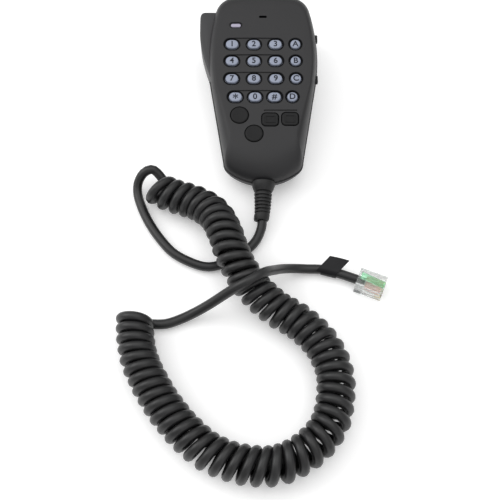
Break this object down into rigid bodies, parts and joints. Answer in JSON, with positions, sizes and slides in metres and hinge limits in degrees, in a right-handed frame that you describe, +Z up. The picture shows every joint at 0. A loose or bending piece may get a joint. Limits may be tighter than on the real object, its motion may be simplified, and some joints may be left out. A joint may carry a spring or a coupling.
{
  "type": "hand microphone",
  "caption": "Hand microphone with a keypad, a talk lever on its side, a hang-up button on its back and a curly cord that ends in a modular plug.",
  "frame": {"origin": "bottom centre of the case's bounding box, on the table that the case lies on, without the cord", "axes": "+Z up, out of the face; +Y along the case from the cord end to the head; +X to the right, with the talk lever on the -X side"},
  "size_m": [0.1221, 0.2435, 0.0356],
  "materials": {
    "case_front": "fine-grained moulded ABS, dark grey",
    "case_back": "fine-grained moulded ABS, dark grey",
    "lever": "satin moulded plastic, near black",
    "key_grey": "satin grey-blue key tops",
    "key_black": "matt black rubber",
    "window": "pale translucent lens",
    "capsule": "drawn can",
    "boot_rubber": "matt black moulded rubber",
    "mat": "grey silicone",
    "board": "green solder mask",
    "chip": "black epoxy",
    "lamp": "pale diffuser",
    "wire": "red PVC",
    "wire_pale": "pale PVC wires",
    "cord_jacket": "satin black jacket",
    "tag_film": "black film label",
    "clear_plastic": "clear polycarbonate",
    "contact": "gold plated",
    "nylon": "off-white nylon",
    "button_metal": "nickel plated",
    "switch_black": "black moulded plastic",
    "tin": "tinned sheet",
    "steel": "zinc plated"
  },
  "bodies": {
    "case": {"front_cover": "case_front", "rear_cover": "case_back", "cover_screws": "steel", "hang_button": "button_metal", "hang_button_screw": "steel", "main_board": "board", "board_screws": "steel", "tone_chip": "chip", "keypad_lamps": "lamp", "keypad_mat": "mat", "status_lamp": "lamp", "lamp_window": "window", "mic_capsule": "capsule", "mic_boot": "boot_rubber", "mic_wires": "wire", "top_key_board": "board", "top_key_switches": "switch_black", "lock_switch": "tin", "lamp_switch": "tin", "ptt_pivot_pin": "steel", "ptt_switch": "switch_black", "ptt_spring": "steel", "cable_boot": "boot_rubber", "cable_clamp": "tin", "cable_tail": "cord_jacket", "cable_plug_inside": "nylon", "cord_lead_mic": "cord_jacket", "curly_cord": "cord_jacket", "cord_lead_plug": "cord_jacket", "cord_tag": "tag_film", "plug_body": "clear_plastic", "plug_contacts": "contact", "plug_wires": "wire_pale"},
    "talk_lever": {"ptt_lever": "lever"},
    "key_1": {"key_1": "key_grey"},
    "key_2": {"key_2": "key_grey"},
    "key_3": {"key_3": "key_grey"},
    "key_a": {"key_a": "key_grey"},
    "key_4": {"key_4": "key_grey"},
    "key_5": {"key_5": "key_grey"},
    "key_6": {"key_6": "key_grey"},
    "key_b": {"key_b": "key_grey"},
    "key_7": {"key_7": "key_grey"},
    "key_8": {"key_8": "key_grey"},
    "key_9": {"key_9": "key_grey"},
    "key_c": {"key_c": "key_grey"},
    "key_star": {"key_star": "key_grey"},
    "key_0": {"key_0": "key_grey"},
    "key_hash": {"key_hash": "key_grey"},
    "key_d": {"key_d": "key_grey"},
    "button_left": {"button_left": "key_black"},
    "button_low": {"button_low": "key_black"},
    "button_mid": {"button_mid": "key_black"},
    "button_right": {"button_right": "key_black"},
    "up_key": {"up_key": "key_grey"},
    "down_key": {"down_key": "key_grey"},
    "lock_slider": {"lock_slider": "key_black"},
    "lamp_slider": {"lamp_slider": "key_black"},
    "plug_latch": {"plug_latch": "clear_plastic"}
  },
  "joints": [
    {"name": "talk_press", "type": "hinge", "parent": "case", "child": "talk_lever", "pos_m": [-0.0199, 0.00747, 0.01801], "axis": [0, 0.1632, -0.9866], "range_deg": [0, 3.2], "stiffness_Nm_per_rad": 1, "springref_deg": -4.58},
    {"name": "key_1_press", "type": "slide", "parent": "case", "child": "key_1", "axis": [0, 0.1632, -0.9866], "range_m": [0, 0.0008], "stiffness_N_per_m": 900, "springref_m": -0.0006},
    {"name": "key_2_press", "type": "slide", "parent": "case", "child": "key_2", "axis": [0, 0.1632, -0.9866], "range_m": [0, 0.0008], "stiffness_N_per_m": 900, "springref_m": -0.0006},
    {"name": "key_3_press", "type": "slide", "parent": "case", "child": "key_3", "axis": [0, 0.1632, -0.9866], "range_m": [0, 0.0008], "stiffness_N_per_m": 900, "springref_m": -0.0006},
    {"name": "key_a_press", "type": "slide", "parent": "case", "child": "key_a", "axis": [0, 0.1632, -0.9866], "range_m": [0, 0.0008], "stiffness_N_per_m": 900, "springref_m": -0.0006},
    {"name": "key_4_press", "type": "slide", "parent": "case", "child": "key_4", "axis": [0, 0.1632, -0.9866], "range_m": [0, 0.0008], "stiffness_N_per_m": 900, "springref_m": -0.0006},
    {"name": "key_5_press", "type": "slide", "parent": "case", "child": "key_5", "axis": [0, 0.1632, -0.9866], "range_m": [0, 0.0008], "stiffness_N_per_m": 900, "springref_m": -0.0006},
    {"name": "key_6_press", "type": "slide", "parent": "case", "child": "key_6", "axis": [0, 0.1632, -0.9866], "range_m": [0, 0.0008], "stiffness_N_per_m": 900, "springref_m": -0.0006},
    {"name": "key_b_press", "type": "slide", "parent": "case", "child": "key_b", "axis": [0, 0.1632, -0.9866], "range_m": [0, 0.0008], "stiffness_N_per_m": 900, "springref_m": -0.0006},
    {"name": "key_7_press", "type": "slide", "parent": "case", "child": "key_7", "axis": [0, 0.1632, -0.9866], "range_m": [0, 0.0008], "stiffness_N_per_m": 900, "springref_m": -0.0006},
    {"name": "key_8_press", "type": "slide", "parent": "case", "child": "key_8", "axis": [0, 0.1632, -0.9866], "range_m": [0, 0.0008], "stiffness_N_per_m": 900, "springref_m": -0.0006},
    {"name": "key_9_press", "type": "slide", "parent": "case", "child": "key_9", "axis": [0, 0.1632, -0.9866], "range_m": [0, 0.0008], "stiffness_N_per_m": 900, "springref_m": -0.0006},
    {"name": "key_c_press", "type": "slide", "parent": "case", "child": "key_c", "axis": [0, 0.1632, -0.9866], "range_m": [0, 0.0008], "stiffness_N_per_m": 900, "springref_m": -0.0006},
    {"name": "key_star_press", "type": "slide", "parent": "case", "child": "key_star", "axis": [0, 0.1632, -0.9866], "range_m": [0, 0.0008], "stiffness_N_per_m": 900, "springref_m": -0.0006},
    {"name": "key_0_press", "type": "slide", "parent": "case", "child": "key_0", "axis": [0, 0.1632, -0.9866], "range_m": [0, 0.0008], "stiffness_N_per_m": 900, "springref_m": -0.0006},
    {"name": "key_hash_press", "type": "slide", "parent": "case", "child": "key_hash", "axis": [0, 0.1632, -0.9866], "range_m": [0, 0.0008], "stiffness_N_per_m": 900, "springref_m": -0.0006},
    {"name": "key_d_press", "type": "slide", "parent": "case", "child": "key_d", "axis": [0, 0.1632, -0.9866], "range_m": [0, 0.0008], "stiffness_N_per_m": 900, "springref_m": -0.0006},
    {"name": "button_left_press", "type": "slide", "parent": "case", "child": "button_left", "axis": [0, 0.1632, -0.9866], "range_m": [0, 0.0008], "stiffness_N_per_m": 900, "springref_m": -0.0006},
    {"name": "button_low_press", "type": "slide", "parent": "case", "child": "button_low", "axis": [0, 0.1632, -0.9866], "range_m": [0, 0.0008], "stiffness_N_per_m": 900, "springref_m": -0.0006},
    {"name": "button_mid_press", "type": "slide", "parent": "case", "child": "button_mid", "axis": [0, 0.1632, -0.9866], "range_m": [0, 0.0008], "stiffness_N_per_m": 900, "springref_m": -0.0006},
    {"name": "button_right_press", "type": "slide", "parent": "case", "child": "button_right", "axis": [0, 0.1632, -0.9866], "range_m": [0, 0.0008], "stiffness_N_per_m": 900, "springref_m": -0.0006},
    {"name": "up_key_press", "type": "slide", "parent": "case", "child": "up_key", "axis": [0, -0.9866, -0.1632], "range_m": [0, 0.0008], "stiffness_N_per_m": 900, "springref_m": -0.0006},
    {"name": "down_key_press", "type": "slide", "parent": "case", "child": "down_key", "axis": [0, -0.9866, -0.1632], "range_m": [0, 0.0008], "stiffness_N_per_m": 900, "springref_m": -0.0006},
    {"name": "lock_slide", "type": "slide", "parent": "case", "child": "lock_slider", "axis": [0, 0.9866, 0.1632], "range_m": [0, 0.0025]},
    {"name": "lamp_slide", "type": "slide", "parent": "case", "child": "lamp_slider", "axis": [0, 0.9866, 0.1632], "range_m": [0, 0.0025]},
    {"name": "latch_press", "type": "hinge", "parent": "case", "child": "plug_latch", "pos_m": [0.05601, -0.10281, 0.00717], "axis": [-0.3714, -0.9285, 0], "range_deg": [0, 6], "stiffness_Nm_per_rad": 0.05, "springref_deg": -2.86}
  ]
}
